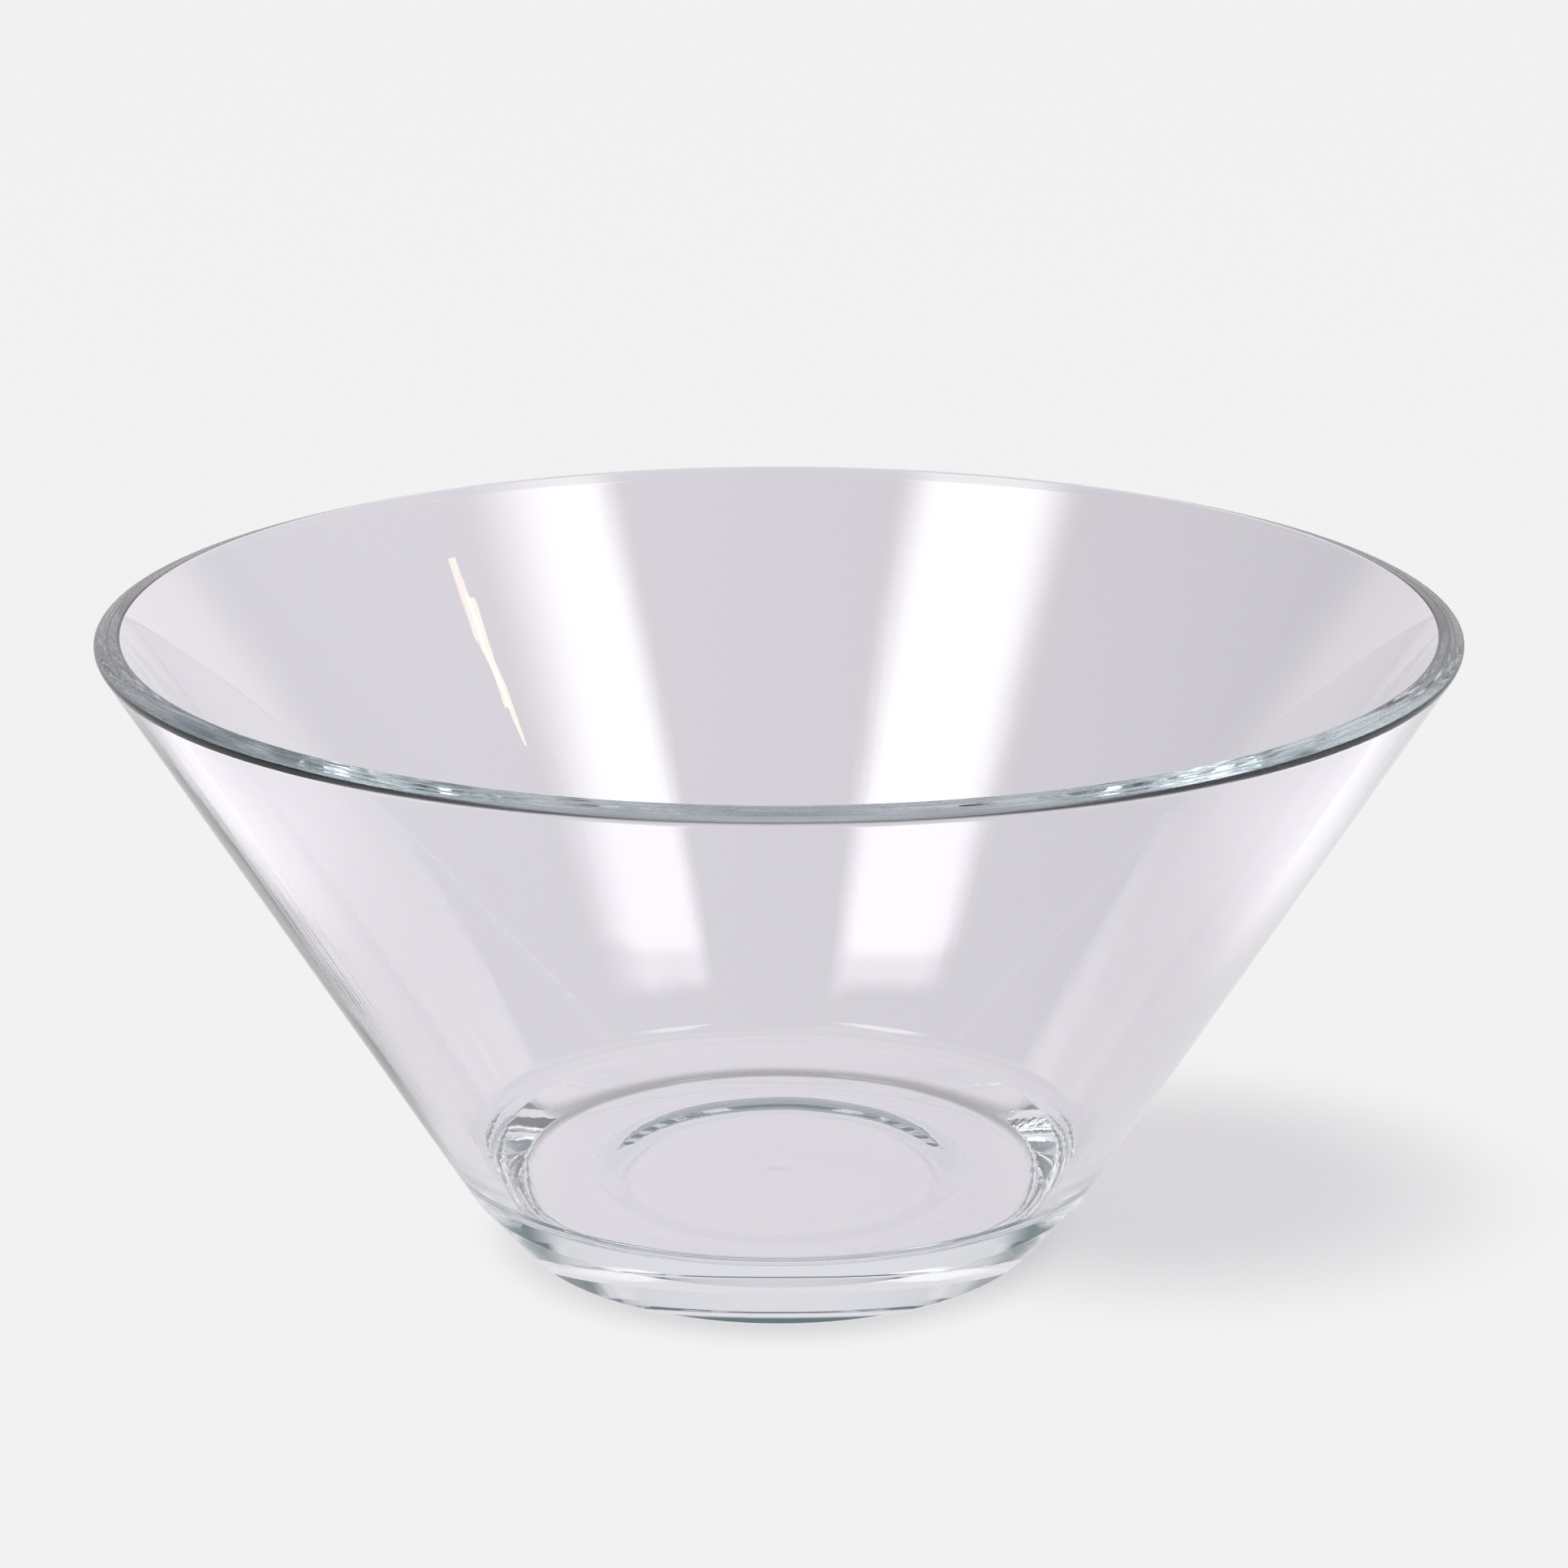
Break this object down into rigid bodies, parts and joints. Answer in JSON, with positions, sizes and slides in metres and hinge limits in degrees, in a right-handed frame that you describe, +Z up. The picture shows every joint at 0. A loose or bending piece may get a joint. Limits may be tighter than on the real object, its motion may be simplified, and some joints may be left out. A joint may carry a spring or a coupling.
{
  "type": "salad bowl",
  "caption": "Conical salad bowl of thick clear glass with a straight flaring wall, a bevelled blue-green rim and a heavy recessed foot.",
  "frame": {"origin": "centre of the foot, on the surface that the bowl stands on", "axes": "+Z up along the bowl's axis, through the mouth; X and Y are free, because the bowl is turned about Z"},
  "size_m": [0.25, 0.25, 0.1215],
  "materials": {
    "clear_glass": "clear, fire-polished"
  },
  "bodies": {
    "root": {"glass_bowl": "clear_glass"}
  },
  "joints": []
}
